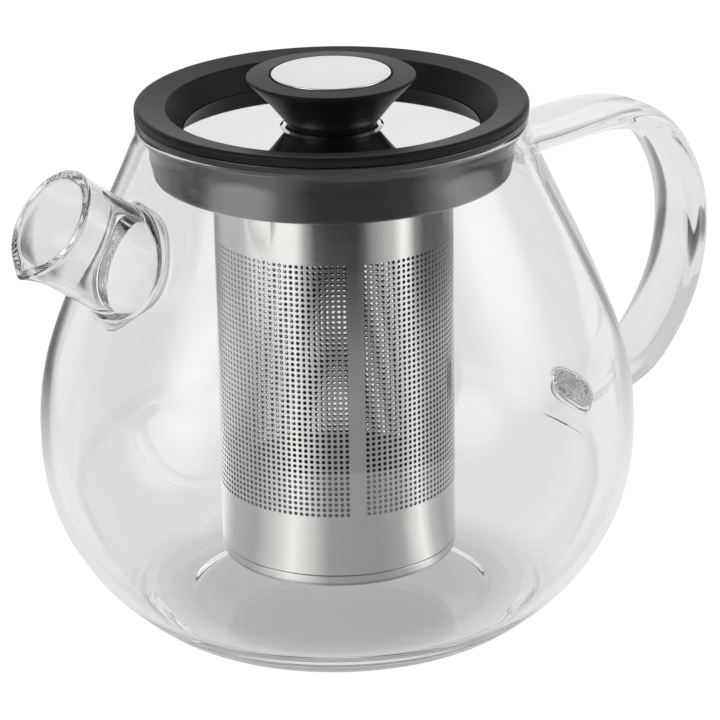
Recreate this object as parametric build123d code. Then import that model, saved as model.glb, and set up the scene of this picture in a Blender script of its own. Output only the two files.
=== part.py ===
from build123d import *
import math
import os

os.makedirs("parts", exist_ok=True)

# Glass teapot with a lift-out steel infuser and a knobbed lid.
# Lengths are in millimetres. +Z is up and the origin is the centre of the resting base.
# The spout points towards -X and the handle towards +X.

# ---- glass pot ----
GLASS_WALL = 2.3
RIM_TOP = 132.6
NECK_OUTER_R = 49.75
NECK_INNER_R = 47.4
NECK_FOOT = 130.6
BASE_R = 45.8
FLOOR_TOP = 4.2
FLOOR_MIDDLE_TOP = 4.5
FLOOR_FLAT_R = 43.0
FLOOR_TURN = (49.0, 5.2)
BELLY_FROM = 28.0
SHOULDER_FROM = 80.0
POT_FLANK = [
    (48.2, 0.5), (50.6, 1.7), (53.8, 4.0), (58.5, 8.0), (64.3, 14.0), (69.7, 22.0), (73.9, 31.0),
    (76.4, 42.0), (76.9, 52.0), (76.2, 62.0), (74.1, 72.0), (71.0, 81.0), (67.0, 91.0), (62.6, 101.0),
    (57.9, 111.0), (53.6, 120.4), (51.2, 126.0), (50.2, 128.5),
]

# ---- spout: a short tube fused over a hole in the flank ----
SPOUT_RISE_DEG = 36.0
SPOUT_MOUTH = (81.5, 119.9)
SPOUT_LENGTH = 26.0
SPOUT_BORE_R = 11.9
SPOUT_WALL = 1.9
SPOUT_FOOT_FLARE = 1.6
SPOUT_BEAD = 0.45
SPOUT_LIP_DRAW = 2.4
SPOUT_LIP_REACH = 11.0

# ---- handle: a flattened glass strap ----
STRAP_WIDTH = 19.4
STRAP_THICKNESS = 7.6
STRAP_ROUNDING = 0.72
STRAP_STATIONS = 24
STRAP_PATH = [
    (51.5, 117.2), (62.2, 117.9), (73.8, 119.1), (86.4, 118.9), (97.6, 114.8), (105.3, 105.2),
    (109.6, 92.7), (109.8, 80.0), (106.9, 68.0), (101.4, 57.9), (94.4, 49.9), (85.0, 45.0),
    (74.4, 42.0),
]

# ---- infuser ----
COLLAR_FLANGE_R = 49.9
COLLAR_FLANGE_THICKNESS = 2.0
COLLAR_BORE_R = 42.5
COLLAR_SKIRT_TOP_R = 46.7
COLLAR_SKIRT_FOOT_R = 45.2
COLLAR_BOTTOM = 118.3
COLLAR_SHELF_THICKNESS = 2.0
COLLAR_HOLE_R = 31.6
BASKET_R = 30.56
BASKET_SHEET = 0.5
BASKET_BOTTOM = 15.9
BASKET_CORNER_R = 2.4
BASKET_SEAM_Z = 19.4
BASKET_RIM_R = 36.0
BASKET_RIM_THICKNESS = 0.6
CLAMP_INNER_R = 31.3
CLAMP_OUTER_R = 42.3
CLAMP_THICKNESS = 2.2
BASE_LIP_HEIGHT = 4.0
BASE_CRIMP_DEPTH = 0.35

# ---- lid ----
LID_R = 50.0
LID_TOP = 137.2
LID_DISH_TOP_R = 42.2
LID_DISH_TOP = 136.1
LID_DISH_FOOT_R = 37.9
LID_PLUG_R = 41.5
LID_PLUG_INNER_R = 39.0
LID_PLUG_BOTTOM = 125.0
LID_FLOOR_BOTTOM = 127.3
DISC_SEAT = 129.5
DISC_R = 37.6
DISC_TOP = 130.3
DISC_BOSS_R = 13.2
DISC_BOSS_RISE = 0.5
SEAL_Z = 128.2
SEAL_HEIGHT = 3.6
SEAL_ROOT_R = 40.1
SEAL_LIP_R = 42.15
KNOB_R = 21.55
KNOB_FOOT_R = 9.9
KNOB_TOP = 144.0
CAP_R = 15.2
CAP_RECESS_R = 15.6
CAP_SEAT = 142.9
CAP_TOP = 144.2
SCREW_R = 2.0
SCREW_HOLE_R = 2.3
SCREW_HEAD_R = 3.7
SCREW_HEAD_HEIGHT = 2.3
SCREW_TIP = 139.2
DRIVER_SLOT_LENGTH = 4.4
DRIVER_SLOT_WIDTH = 0.9
DRIVER_SLOT_DEPTH = 1.2
WASHER_R = 5.5
WASHER_THICKNESS = 0.8


def turned(corners):
    """Solid of revolution about Z from (radius, height) corners listed around the outline."""
    outline = Polyline(*[(r, 0, z) for r, z in corners], close=True)
    return revolve(make_face(outline), Axis.Z)


def save(shape, name):
    shape.label = name
    export_step(shape, f"parts/{name}.step")


def inward(points, wall):
    """Points moved by the wall thickness towards the inside of the pot."""
    moved = []
    for before, here, after in zip(points, points[1:], points[2:]):
        run = after[0] - before[0]
        rise = after[1] - before[1]
        length = math.hypot(run, rise)
        moved.append((here[0] - wall * rise / length, here[1] + wall * run / length))
    return moved


def upright(points):
    return [(r, 0, z) for r, z in points]


# ---- pot body ----
outer_points = [(BASE_R, 0.0)] + POT_FLANK + [(NECK_OUTER_R, NECK_FOOT)]
inner_points = inward(outer_points, GLASS_WALL)[3:]
outer_flank = Spline(*upright(outer_points))
floor_edge = [(FLOOR_FLAT_R, FLOOR_TOP), FLOOR_TURN]
inner_flank = Spline(*upright(floor_edge + inner_points + [(NECK_INNER_R, NECK_FOOT)]))
outer_rim = Polyline(
    (NECK_OUTER_R, 0, NECK_FOOT),
    (NECK_OUTER_R, 0, RIM_TOP - 0.7),
    (NECK_OUTER_R - 0.25, 0, RIM_TOP - 0.2),
    (NECK_OUTER_R - 0.8, 0, RIM_TOP),
    (0, 0, RIM_TOP),
    (0, 0, 0),
    (BASE_R, 0, 0),
)
full_outer = revolve(make_face(outer_flank + outer_rim), Axis.Z)
hollow_edge = Polyline(
    (NECK_INNER_R, 0, NECK_FOOT),
    (NECK_INNER_R, 0, RIM_TOP - 0.7),
    (NECK_INNER_R + 0.25, 0, RIM_TOP - 0.2),
    (NECK_INNER_R + 0.8, 0, RIM_TOP),
    (NECK_INNER_R + 0.8, 0, RIM_TOP + 5),
    (0, 0, RIM_TOP + 5),
    (0, 0, FLOOR_MIDDLE_TOP),
    (FLOOR_FLAT_R, 0, FLOOR_TOP),
)
hollow = revolve(make_face(inner_flank + hollow_edge), Axis.Z)

# ---- spout tube ----
rise = math.radians(SPOUT_RISE_DEG)
spout_axis = Vector(-math.cos(rise), 0, math.sin(rise))
spout_mouth = Vector(-SPOUT_MOUTH[0], 0, SPOUT_MOUTH[1])


def spout_section(distance, radius):
    """Closed round section this far back from the mouth, drawn out downwards near the mouth."""
    centre = spout_mouth - spout_axis * distance
    across = Vector(0, 1, 0)
    down = Vector(-math.sin(rise), 0, -math.cos(rise))
    draw = SPOUT_LIP_DRAW * max(0.0, 1 - max(0.0, distance) / SPOUT_LIP_REACH) ** 2
    ring = []
    for step in range(36):
        turn = 2 * math.pi * step / 36
        reach = radius + draw * max(0.0, math.cos(turn)) ** 9
        ring.append(centre + down * (reach * math.cos(turn)) + across * (reach * math.sin(turn)))
    return make_face(Spline(*ring, periodic=True))


def tube_radius(distance):
    """Outside radius: a fire-polished bead at the mouth and a flare where the tube is fused on."""
    bead = SPOUT_BEAD * math.exp(-((distance - 1.3) / 1.0) ** 2)
    flare = SPOUT_FOOT_FLARE * math.exp(-max(0.0, SPOUT_LENGTH + 1.0 - distance) / 2.2)
    polish = 0.9 * max(0.0, 1 - distance / 0.7) ** 2
    return SPOUT_BORE_R + SPOUT_WALL + bead + flare - polish


mouth_steps = [0.0, 0.3, 0.7, 1.3, 2.0, 2.8, 4.0, 5.5, 7.5]
tube_steps = mouth_steps + [10.0, 13.0, 16.0, 18.5, 20.5, 22.0, 23.5, 25.0, 26.5, 28.0, 30.0]
spout_outside = loft([spout_section(step, tube_radius(step)) for step in tube_steps])
bore_steps = [-0.6, 0.0, 0.8, 2.0, 4.0, 7.0, 11.0, 16.0, 22.0, 28.0, 34.0]
spout_bore = loft([spout_section(step, SPOUT_BORE_R) for step in bore_steps])
glass_spout = spout_outside - spout_bore - full_outer
glass_body = full_outer - hollow - spout_bore

# ---- handle ----
strap_path = Spline(*upright(STRAP_PATH))


def strap_section(fraction):
    """Flattened round section of the strap at this fraction of its path."""
    centre = strap_path @ fraction
    along = strap_path % fraction
    outward = Vector(-along.Z, 0, along.X)
    ring = []
    for step in range(32):
        turn = 2 * math.pi * step / 32
        side = math.copysign(abs(math.cos(turn)) ** STRAP_ROUNDING, math.cos(turn)) * STRAP_WIDTH / 2
        lift = math.copysign(abs(math.sin(turn)) ** STRAP_ROUNDING, math.sin(turn)) * STRAP_THICKNESS / 2
        ring.append(centre + Vector(0, side, 0) + outward * lift)
    return make_face(Spline(*ring, periodic=True))


strap = loft([strap_section(step / STRAP_STATIONS) for step in range(STRAP_STATIONS + 1)])
glass_handle = strap - full_outer

# The blown body is one piece of glass. It is kept as three stacked rings, each close to a cone.
base_slab = extrude(Circle(100), BELLY_FROM)
belly_slab = Pos(0, 0, BELLY_FROM) * extrude(Circle(100), SHOULDER_FROM - BELLY_FROM)
shoulder_slab = Pos(0, 0, SHOULDER_FROM) * extrude(Circle(100), RIM_TOP)

save(glass_body & base_slab, "glass_base")
save(glass_body & belly_slab, "glass_belly")
save(glass_body & shoulder_slab, "glass_shoulder")
save(glass_spout, "glass_spout")
save(glass_handle, "glass_handle")

# ---- infuser collar and the ring that clamps the basket into it ----
collar_top = RIM_TOP + COLLAR_FLANGE_THICKNESS
shelf_top = COLLAR_BOTTOM + COLLAR_SHELF_THICKNESS
infuser_collar = turned([
    (COLLAR_BORE_R, collar_top),
    (COLLAR_FLANGE_R - 0.5, collar_top),
    (COLLAR_FLANGE_R, collar_top - 0.5),
    (COLLAR_FLANGE_R, RIM_TOP + 0.4),
    (COLLAR_FLANGE_R - 0.4, RIM_TOP),
    (COLLAR_SKIRT_TOP_R, RIM_TOP),
    (COLLAR_SKIRT_FOOT_R, COLLAR_BOTTOM + 1.6),
    (COLLAR_SKIRT_FOOT_R - 0.5, COLLAR_BOTTOM + 0.5),
    (COLLAR_SKIRT_FOOT_R - 1.6, COLLAR_BOTTOM),
    (COLLAR_HOLE_R, COLLAR_BOTTOM),
    (COLLAR_HOLE_R, shelf_top),
    (COLLAR_BORE_R, shelf_top),
])
clamp_bottom = shelf_top + BASKET_RIM_THICKNESS
clamp_top = clamp_bottom + CLAMP_THICKNESS
basket_clamp = turned([
    (CLAMP_INNER_R, clamp_bottom),
    (CLAMP_OUTER_R, clamp_bottom),
    (CLAMP_OUTER_R, clamp_top - 0.5),
    (CLAMP_OUTER_R - 0.5, clamp_top),
    (CLAMP_INNER_R + 1.5, clamp_top),
    (CLAMP_INNER_R, clamp_top - 1.0),
])

# ---- basket: turned-out rim, perforated wall and pressed base ----
wall_inner_r = BASKET_R - BASKET_SHEET
basket_rim = turned([
    (wall_inner_r, shelf_top - 1.2),
    (BASKET_R, shelf_top - 1.2),
    (BASKET_R, shelf_top - 0.4),
    (BASKET_R + 0.4, shelf_top),
    (BASKET_RIM_R, shelf_top),
    (BASKET_RIM_R, clamp_bottom),
    (BASKET_R - 0.1, clamp_bottom),
    (wall_inner_r, shelf_top),
])
basket_wall = turned([
    (wall_inner_r, BASKET_SEAM_Z),
    (BASKET_R, BASKET_SEAM_Z),
    (BASKET_R, shelf_top - 1.2),
    (wall_inner_r, shelf_top - 1.2),
])
corner = [
    (BASKET_R - BASKET_CORNER_R + BASKET_CORNER_R * math.sin(math.radians(a)),
     BASKET_BOTTOM + BASKET_CORNER_R - BASKET_CORNER_R * math.cos(math.radians(a)))
    for a in range(0, 91, 15)
]
inner_corner_r = BASKET_CORNER_R - BASKET_SHEET
inner_corner = [
    (BASKET_R - BASKET_CORNER_R + inner_corner_r * math.sin(math.radians(a)),
     BASKET_BOTTOM + BASKET_CORNER_R - inner_corner_r * math.cos(math.radians(a)))
    for a in range(75, -1, -15)
]
basket_base = turned(
    [(0, BASKET_BOTTOM)]
    + corner
    + [
        (BASKET_R, BASKET_SEAM_Z - 0.45),
        (BASKET_R - BASE_CRIMP_DEPTH, BASKET_SEAM_Z - 0.2),
        (BASKET_R - BASE_CRIMP_DEPTH, BASKET_SEAM_Z),
        (wall_inner_r, BASKET_SEAM_Z),
        (wall_inner_r, BASKET_SEAM_Z + BASE_LIP_HEIGHT),
        (wall_inner_r - BASKET_SHEET, BASKET_SEAM_Z + BASE_LIP_HEIGHT),
        (wall_inner_r - BASKET_SHEET, BASKET_SEAM_Z - 0.4),
        (wall_inner_r, BASKET_SEAM_Z - 0.9),
    ]
    + inner_corner
    + [(0, BASKET_BOTTOM + BASKET_SHEET)]
)

save(infuser_collar, "infuser_collar")
save(basket_clamp, "basket_clamp")
save(basket_rim, "basket_rim")
save(basket_wall, "basket_wall")
save(basket_base, "basket_base")

# ---- lid moulding ----
lid_ring = turned([
    (LID_R - 0.5, collar_top),
    (LID_R, collar_top + 0.5),
    (LID_R, LID_TOP - 1.2),
    (LID_R - 0.15, LID_TOP - 0.75),
    (LID_R - 0.5, LID_TOP - 0.3),
    (LID_R - 1.1, LID_TOP),
    (LID_DISH_TOP_R + 0.9, LID_DISH_TOP + 0.15),
    (LID_DISH_TOP_R + 0.3, LID_DISH_TOP - 0.05),
    (LID_DISH_TOP_R - 0.1, LID_DISH_TOP - 0.5),
    (LID_DISH_FOOT_R, DISC_TOP + 0.1),
    (LID_DISH_FOOT_R, DISC_SEAT),
    (SCREW_HOLE_R, DISC_SEAT),
    (SCREW_HOLE_R, LID_FLOOR_BOTTOM),
    (LID_PLUG_INNER_R, LID_FLOOR_BOTTOM),
    (LID_PLUG_INNER_R, LID_PLUG_BOTTOM),
    (LID_PLUG_R - 0.6, LID_PLUG_BOTTOM),
    (LID_PLUG_R, LID_PLUG_BOTTOM + 0.6),
    (LID_PLUG_R, SEAL_Z),
    (SEAL_ROOT_R, SEAL_Z),
    (SEAL_ROOT_R, SEAL_Z + SEAL_HEIGHT),
    (LID_PLUG_R, SEAL_Z + SEAL_HEIGHT),
    (LID_PLUG_R, collar_top),
])
lid_seal = turned([
    (SEAL_ROOT_R, SEAL_Z),
    (LID_PLUG_R - 0.2, SEAL_Z),
    (SEAL_LIP_R, SEAL_Z + 0.5),
    (LID_PLUG_R - 0.3, SEAL_Z + 1.3),
    (LID_PLUG_R - 0.3, SEAL_Z + 2.0),
    (SEAL_LIP_R, SEAL_Z + 2.5),
    (LID_PLUG_R - 0.2, SEAL_Z + SEAL_HEIGHT),
    (SEAL_ROOT_R, SEAL_Z + SEAL_HEIGHT),
])
boss_top = DISC_TOP + DISC_BOSS_RISE
lid_disc = turned([
    (SCREW_HOLE_R, DISC_SEAT),
    (DISC_R, DISC_SEAT),
    (DISC_R, DISC_TOP - 0.15),
    (DISC_R - 0.15, DISC_TOP),
    (DISC_BOSS_R, DISC_TOP),
    (DISC_BOSS_R - 0.25, DISC_TOP + 0.12),
    (DISC_BOSS_R - 0.55, boss_top - 0.12),
    (DISC_BOSS_R - 0.8, boss_top),
    (SCREW_HOLE_R, boss_top),
])

# ---- knob, its steel cap, and the screw that pulls knob, disc and moulding together ----
knob_body = turned([
    (SCREW_R, boss_top),
    (KNOB_FOOT_R, boss_top),
    (KNOB_FOOT_R + 1.6, boss_top + 1.9),
    (KNOB_FOOT_R + 5.9, boss_top + 6.3),
    (KNOB_R - 0.75, KNOB_TOP - 1.75),
    (KNOB_R - 0.15, KNOB_TOP - 1.15),
    (KNOB_R, KNOB_TOP - 0.75),
    (KNOB_R - 0.2, KNOB_TOP - 0.4),
    (KNOB_R - 0.7, KNOB_TOP - 0.2),
    (CAP_RECESS_R + 0.3, KNOB_TOP),
    (CAP_RECESS_R, KNOB_TOP - 0.15),
    (CAP_RECESS_R, CAP_SEAT),
    (SCREW_R, CAP_SEAT),
])
knob_cap = turned([
    (0, CAP_SEAT),
    (CAP_R, CAP_SEAT),
    (CAP_R, CAP_TOP - 0.25),
    (CAP_R - 0.25, CAP_TOP),
    (0, CAP_TOP),
])
washer_bottom = LID_FLOOR_BOTTOM - WASHER_THICKNESS
knob_washer = turned([
    (SCREW_HOLE_R, washer_bottom),
    (WASHER_R, washer_bottom),
    (WASHER_R, LID_FLOOR_BOTTOM),
    (SCREW_HOLE_R, LID_FLOOR_BOTTOM),
])
head_bottom = washer_bottom - SCREW_HEAD_HEIGHT
knob_screw = turned([
    (0, head_bottom),
    (SCREW_HEAD_R - 0.9, head_bottom),
    (SCREW_HEAD_R - 0.2, head_bottom + 0.6),
    (SCREW_HEAD_R, head_bottom + 1.4),
    (SCREW_HEAD_R, washer_bottom),
    (SCREW_R, washer_bottom),
    (SCREW_R, SCREW_TIP - 0.8),
    (SCREW_R - 0.8, SCREW_TIP),
    (0, SCREW_TIP),
])
slot = Box(DRIVER_SLOT_LENGTH, DRIVER_SLOT_WIDTH, 2 * DRIVER_SLOT_DEPTH)
driver_slots = slot + Rot(0, 0, 90) * slot
knob_screw -= Pos(0, 0, head_bottom) * driver_slots

save(lid_ring, "lid_ring")
save(lid_seal, "lid_seal")
save(lid_disc, "lid_disc")
save(knob_body, "knob_body")
save(knob_cap, "knob_cap")
save(knob_washer, "knob_washer")
save(knob_screw, "knob_screw")
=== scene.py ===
import math

import bmesh
import bpy
import numpy as np
from mathutils import Matrix, Vector


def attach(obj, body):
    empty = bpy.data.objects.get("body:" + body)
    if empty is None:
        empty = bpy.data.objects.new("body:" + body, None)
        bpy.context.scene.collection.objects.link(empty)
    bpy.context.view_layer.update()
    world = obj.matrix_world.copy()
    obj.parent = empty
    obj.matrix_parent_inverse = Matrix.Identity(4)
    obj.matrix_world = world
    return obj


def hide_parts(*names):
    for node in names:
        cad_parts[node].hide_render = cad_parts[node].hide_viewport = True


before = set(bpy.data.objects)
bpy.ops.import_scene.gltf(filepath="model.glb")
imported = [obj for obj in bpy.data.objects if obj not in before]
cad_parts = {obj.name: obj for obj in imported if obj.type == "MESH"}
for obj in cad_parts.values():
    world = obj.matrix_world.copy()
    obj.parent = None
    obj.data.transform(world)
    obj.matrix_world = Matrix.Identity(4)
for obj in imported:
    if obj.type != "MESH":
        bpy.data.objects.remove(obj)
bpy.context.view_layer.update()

# Glass teapot. Lengths are in millimetres and become metres when a mesh is made, apart from those of the
# textures, the floor, the lights and the camera, which are in metres.
MM = 0.001
ROUND_STEPS = 4
LATHE_STEPS = 256

# ---- glass pot ----
GLASS_WALL = 2.3
RIM_TOP = 132.58
NECK_OUTER_R = 49.75
NECK_INNER_R = 47.4
NECK_FOOT = 130.6
FOOT_RING_R = 45.8
FOOT_RING_INNER_R = 40.5
FOOT_FLAT_R = 43.0
UNDERSIDE_RISE = 0.7
UNDERSIDE_R = 36.5
FLOOR_TOP = 4.2
FLOOR_CROWN = 0.3
FLOOR_R = 43.0
FLOOR_TURN_R = 49.0
WIDEST_R = 76.88
POT_FLANK = [
    (48.2, 0.5), (50.6, 1.7), (53.8, 4.0), (58.5, 8.0), (64.3, 14.0), (69.7, 22.0), (73.9, 31.0),
    (76.4, 42.0), (76.9, 52.0), (76.2, 62.0), (74.1, 72.0), (71.0, 81.0), (67.0, 91.0), (62.6, 101.0),
    (57.9, 111.0), (53.6, 120.4), (51.2, 126.0), (50.2, 128.5),
]

# ---- spout ----
SPOUT_RISE = math.radians(36.0)
SPOUT_MOUTH = (-81.5, 0.0, 119.9)
SPOUT_BORE_R = 11.9
SPOUT_WALL = 1.9
SPOUT_BEAD = 0.45
SPOUT_INNER_BEAD = 0.6
SPOUT_FLARE = 8.0
SPOUT_LIP_DRAW = 2.25
SPOUT_LIP_REACH = 11.0
SPOUT_PATCH_R = 21.0
SPOUT_INNER_PATCH_R = 17.5
SPOUT_RINGS = 128
SPOUT_FILLET_OUT = 3.4
SPOUT_FILLET_UP = 4.2
SPOUT_FILLET_IN = 1.1
LIP_TIP_ROUNDING = 0.05
RIM_FACE_R = 0.7

# ---- handle ----
STRAP_WIDTH = 19.4
STRAP_THICKNESS = 7.6
STRAP_ROUNDING = 0.72
STRAP_RINGS = 72
STRAP_STATIONS = 150
STRAP_FILLET_OUT = 2.2
STRAP_FILLET_UP = 3.0
STRAP_BORDER = 3.9
STRAP_PATH = [
    (51.5, 117.2), (62.2, 117.9), (73.8, 119.1), (86.4, 118.9), (97.6, 114.8), (105.3, 105.2),
    (109.6, 92.7), (109.8, 80.0), (106.9, 68.0), (101.4, 57.9), (94.4, 49.9), (85.0, 45.0),
    (74.4, 42.0),
]

# ---- infuser ----
COLLAR_TOP = 134.6
COLLAR_FLANGE_R = 49.9
COLLAR_BORE_R = 42.5
COLLAR_SKIRT_TOP_R = 46.7
COLLAR_SKIRT_FOOT_R = 45.2
COLLAR_BOTTOM = 118.3
SHELF_TOP = 120.3
COLLAR_HOLE_R = 31.6
BASKET_R = 30.56
BASKET_SHEET = 0.5
BASKET_SEAM_Z = 19.4
BASKET_BOTTOM = 15.9
BASKET_TOP = 119.1
BASKET_RIM_R = 36.0
BASKET_RIM_TOP = 120.9
CLAMP_INNER_R = 31.3
CLAMP_OUTER_R = 42.3
CLAMP_TOP = 123.1
HOLE_ROWS = 47
MIDDLE_ROW = 23
HOLE_BOTTOM_Z = 36.1
HOLE_PITCH_Z = 1.4393
HOLE_COLUMNS = 125
HOLE_R = 0.52
HOLE_SIDES = 8
SEAM_AZIMUTH = math.radians(-112.2)
SEAM_WIDTH = 3.8

# ---- lid ----
LID_R = 50.0
LID_TOP = 137.2
DISH_RIM = (42.2, 136.1)
DISH_FOOT = (37.9, 130.4)
PLUG_R = 41.5
PLUG_INNER_R = 39.0
PLUG_BOTTOM = 125.0
PLATE_BOTTOM = 127.3
GROOVE_R = 40.1
GROOVE_BOTTOM = 128.2
GROOVE_TOP = 131.8
SCREW_HOLE_R = 2.3
DISC_R = 37.6
DISC_SEAT = 129.5
DISC_TOP = 130.3
BOSS_R = 12.4
BOSS_RISE = 0.5
KNOB_R = 21.55
KNOB_TOP = 144.0
KNOB_FOOT = 130.8
KNOB_BORE_R = 2.0
CAP_SEAT = 142.9
CAP_SEAT_R = 15.6
CAP_R = 15.2
CAP_TOP = 144.2


# ---- mesh tools
def make_object(name, points, faces, normals, material):
    """A smooth mesh object from points in millimetres and their normals."""
    mesh = bpy.data.meshes.new(name)
    mesh.from_pydata((np.asarray(points, float) * MM).tolist(), [], [list(f) for f in faces])
    mesh.polygons.foreach_set("use_smooth", np.ones(len(mesh.polygons), bool))
    mesh.update()
    mesh.normals_split_custom_set_from_vertices(np.asarray(normals, float).tolist())
    made = bpy.data.objects.new(name, mesh)
    bpy.context.scene.collection.objects.link(made)
    mesh.materials.append(material)
    return made


def spline_through(points, per_span):
    """Points and tangents along a natural cubic spline through the given 2-D points."""
    p = np.asarray(points, float)
    t = np.concatenate([[0.0], np.cumsum(np.hypot(*np.diff(p, axis=0).T))])
    n = len(p)
    h = np.diff(t)
    a = np.zeros((n, n))
    b = np.zeros((n, 2))
    a[0, 0] = a[-1, -1] = 1.0
    for i in range(1, n - 1):
        a[i, i - 1], a[i, i], a[i, i + 1] = h[i - 1], 2 * (h[i - 1] + h[i]), h[i]
        b[i] = 6 * ((p[i + 1] - p[i]) / h[i] - (p[i] - p[i - 1]) / h[i - 1])
    m = np.linalg.solve(a, b)
    found, along = [], []
    for i in range(n - 1):
        steps = np.arange(per_span + (1 if i == n - 2 else 0)) / per_span
        for s in steps:
            x = s * h[i]
            y = h[i] - x
            found.append(
                m[i] * y ** 3 / (6 * h[i]) + m[i + 1] * x ** 3 / (6 * h[i])
                + (p[i] / h[i] - m[i] * h[i] / 6) * y + (p[i + 1] / h[i] - m[i + 1] * h[i] / 6) * x
            )
            along.append(
                -m[i] * y ** 2 / (2 * h[i]) + m[i + 1] * x ** 2 / (2 * h[i])
                - p[i] / h[i] + m[i] * h[i] / 6 + p[i + 1] / h[i] - m[i + 1] * h[i] / 6
            )
    return np.array(found), np.array(along)


def rounded(corners, closed):
    """Outline points with normals, as rows (r, z, nr, nz), for corners (r, z, rounding) listed so that
    the material is on the left."""
    rows = []
    count = len(corners)
    for i, (r, z, size) in enumerate(corners):
        here = np.array((r, z), float)
        before = np.array(corners[i - 1][:2], float)
        after = np.array(corners[(i + 1) % count][:2], float)
        if not closed and i in (0, count - 1):
            way = after - here if i == 0 else here - before
            way /= np.linalg.norm(way)
            rows.append((r, z, way[1], -way[0]))
            continue
        into, out = here - before, after - here
        into_length, out_length = np.linalg.norm(into), np.linalg.norm(out)
        into, out = into / into_length, out / out_length
        turn = math.atan2(into[0] * out[1] - into[1] * out[0], float(into @ out))
        if abs(turn) < 1e-4:
            rows.append((r, z, into[1], -into[0]))
            continue
        back = min(size * math.tan(abs(turn) / 2), 0.48 * into_length, 0.48 * out_length)
        radius = back / math.tan(abs(turn) / 2)
        start = here - into * back
        side = math.copysign(1.0, turn)
        centre = start + side * radius * np.array((-into[1], into[0]))
        steps = max(2, int(math.ceil(ROUND_STEPS * abs(turn) / (math.pi / 2))) + 1)
        for k in range(steps + 1):
            angle = turn * k / steps
            c, s = math.cos(angle), math.sin(angle)
            way = np.array((into[0] * c - into[1] * s, into[0] * s + into[1] * c))
            normal = np.array((way[1], -way[0]))
            spot = centre + side * radius * normal
            rows.append((spot[0], spot[1], normal[0], normal[1]))
    return rows


def lathe(rows, closed, steps=LATHE_STEPS):
    """Points, normals and faces of the outline rows turned about Z. Rows at radius 0 become one point."""
    points, normals, rings = [], [], []
    angles = 2 * math.pi * np.arange(steps) / steps
    for r, z, nr, nz in rows:
        first = len(points)
        if r < 1e-6:
            points.append((0.0, 0.0, z))
            normals.append((0.0, 0.0, math.copysign(1.0, nz)))
            rings.append([first] * steps)
            continue
        for a in angles:
            points.append((r * math.cos(a), r * math.sin(a), z))
            normals.append((nr * math.cos(a), nr * math.sin(a), nz))
        rings.append(list(range(first, first + steps)))
    pairs = list(zip(rings, rings[1:]))
    if closed:
        pairs.append((rings[-1], rings[0]))
    faces = []
    for low, high in pairs:
        for j in range(steps):
            k = (j + 1) % steps
            corners = [low[j], low[k], high[k], high[j]]
            kept = [c for i, c in enumerate(corners) if c != corners[i - 1]]
            if len(kept) > 2:
                faces.append(kept)
    return points, normals, faces


def turned(name, corners, material, body, nodes, closed=True, steps=LATHE_STEPS):
    """A turned piece with rounded corners, on its body, in place of its CAD nodes."""
    points, normals, faces = lathe(rounded(corners, closed), closed, steps)
    piece = make_object(name, points, faces, normals, material)
    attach(piece, body)
    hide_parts(*nodes)


# ---- node tools
def new_material(name):
    """A material with its node tree and its main shader."""
    material = bpy.data.materials.new(name)
    material.use_nodes = True
    tree = material.node_tree
    shader = tree.nodes["Principled BSDF"]
    return material, tree, shader


def set_inputs(node, values):
    """Sets a node's inputs by name."""
    for name, value in values.items():
        node.inputs[name].default_value = value


def feed(tree, socket, value):
    """Links a socket to another node's output, or sets it to a constant."""
    if isinstance(value, bpy.types.NodeSocket):
        tree.links.new(value, socket)
    else:
        socket.default_value = value


def noise(tree, scale, detail, source, stretch=(1, 1, 1)):
    """A noise texture over object coordinates, stretched by per-axis factors."""
    mapping = tree.nodes.new("ShaderNodeMapping")
    mapping.inputs["Scale"].default_value = stretch
    tree.links.new(source, mapping.inputs["Vector"])
    texture = tree.nodes.new("ShaderNodeTexNoise")
    set_inputs(texture, {"Scale": scale, "Detail": detail})
    tree.links.new(mapping.outputs["Vector"], texture.inputs["Vector"])
    return texture.outputs["Fac"]


def map_range(tree, value, low, high, to_low=0.0, to_high=1.0, smooth=False):
    """A value moved from the range low..high to to_low..to_high, and held at its ends."""
    node = tree.nodes.new("ShaderNodeMapRange")
    if smooth:
        node.interpolation_type = "SMOOTHSTEP"
    set_inputs(node, {"From Min": low, "From Max": high, "To Min": to_low, "To Max": to_high})
    tree.links.new(value, node.inputs["Value"])
    return node.outputs["Result"]


def colour_ramp(tree, value, low, high):
    """A colour between low and high, which keeps to them outside the middle of the range."""
    ramp = tree.nodes.new("ShaderNodeValToRGB")
    ramp.color_ramp.elements[0].color = (*low, 1)
    ramp.color_ramp.elements[1].color = (*high, 1)
    ramp.color_ramp.elements[0].position = 0.3
    ramp.color_ramp.elements[1].position = 0.7
    tree.links.new(value, ramp.inputs["Fac"])
    return ramp.outputs["Color"]


def level_ramp(tree, value, stops, low, high):
    """A grey level that follows (place, level) stops, the first at low and the last at high."""
    ramp = tree.nodes.new("ShaderNodeValToRGB")
    elements = ramp.color_ramp.elements
    for where, level in stops[1:-1]:
        elements.new((where - low) / (high - low)).color = (level, level, level, 1)
    for end in (0, -1):
        level = stops[end][1]
        elements[end].color = (level, level, level, 1)
    tree.links.new(map_range(tree, value, low, high), ramp.inputs["Fac"])
    return ramp.outputs["Color"]


def bump(tree, height, strength, distance, shader):
    """Fine relief on a shader's surface."""
    node = tree.nodes.new("ShaderNodeBump")
    set_inputs(node, {"Strength": strength, "Distance": distance})
    tree.links.new(height, node.inputs["Height"])
    tree.links.new(node.outputs["Normal"], shader.inputs["Normal"])


def coordinates(tree):
    """The place on the object, in metres."""
    return tree.nodes.new("ShaderNodeTexCoord").outputs["Object"]


def number_math(tree, operation, first, second):
    """An operation on two numbers."""
    node = tree.nodes.new("ShaderNodeMath")
    node.operation = operation
    feed(tree, node.inputs[0], first)
    feed(tree, node.inputs[1], second)
    return node.outputs["Value"]


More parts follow.
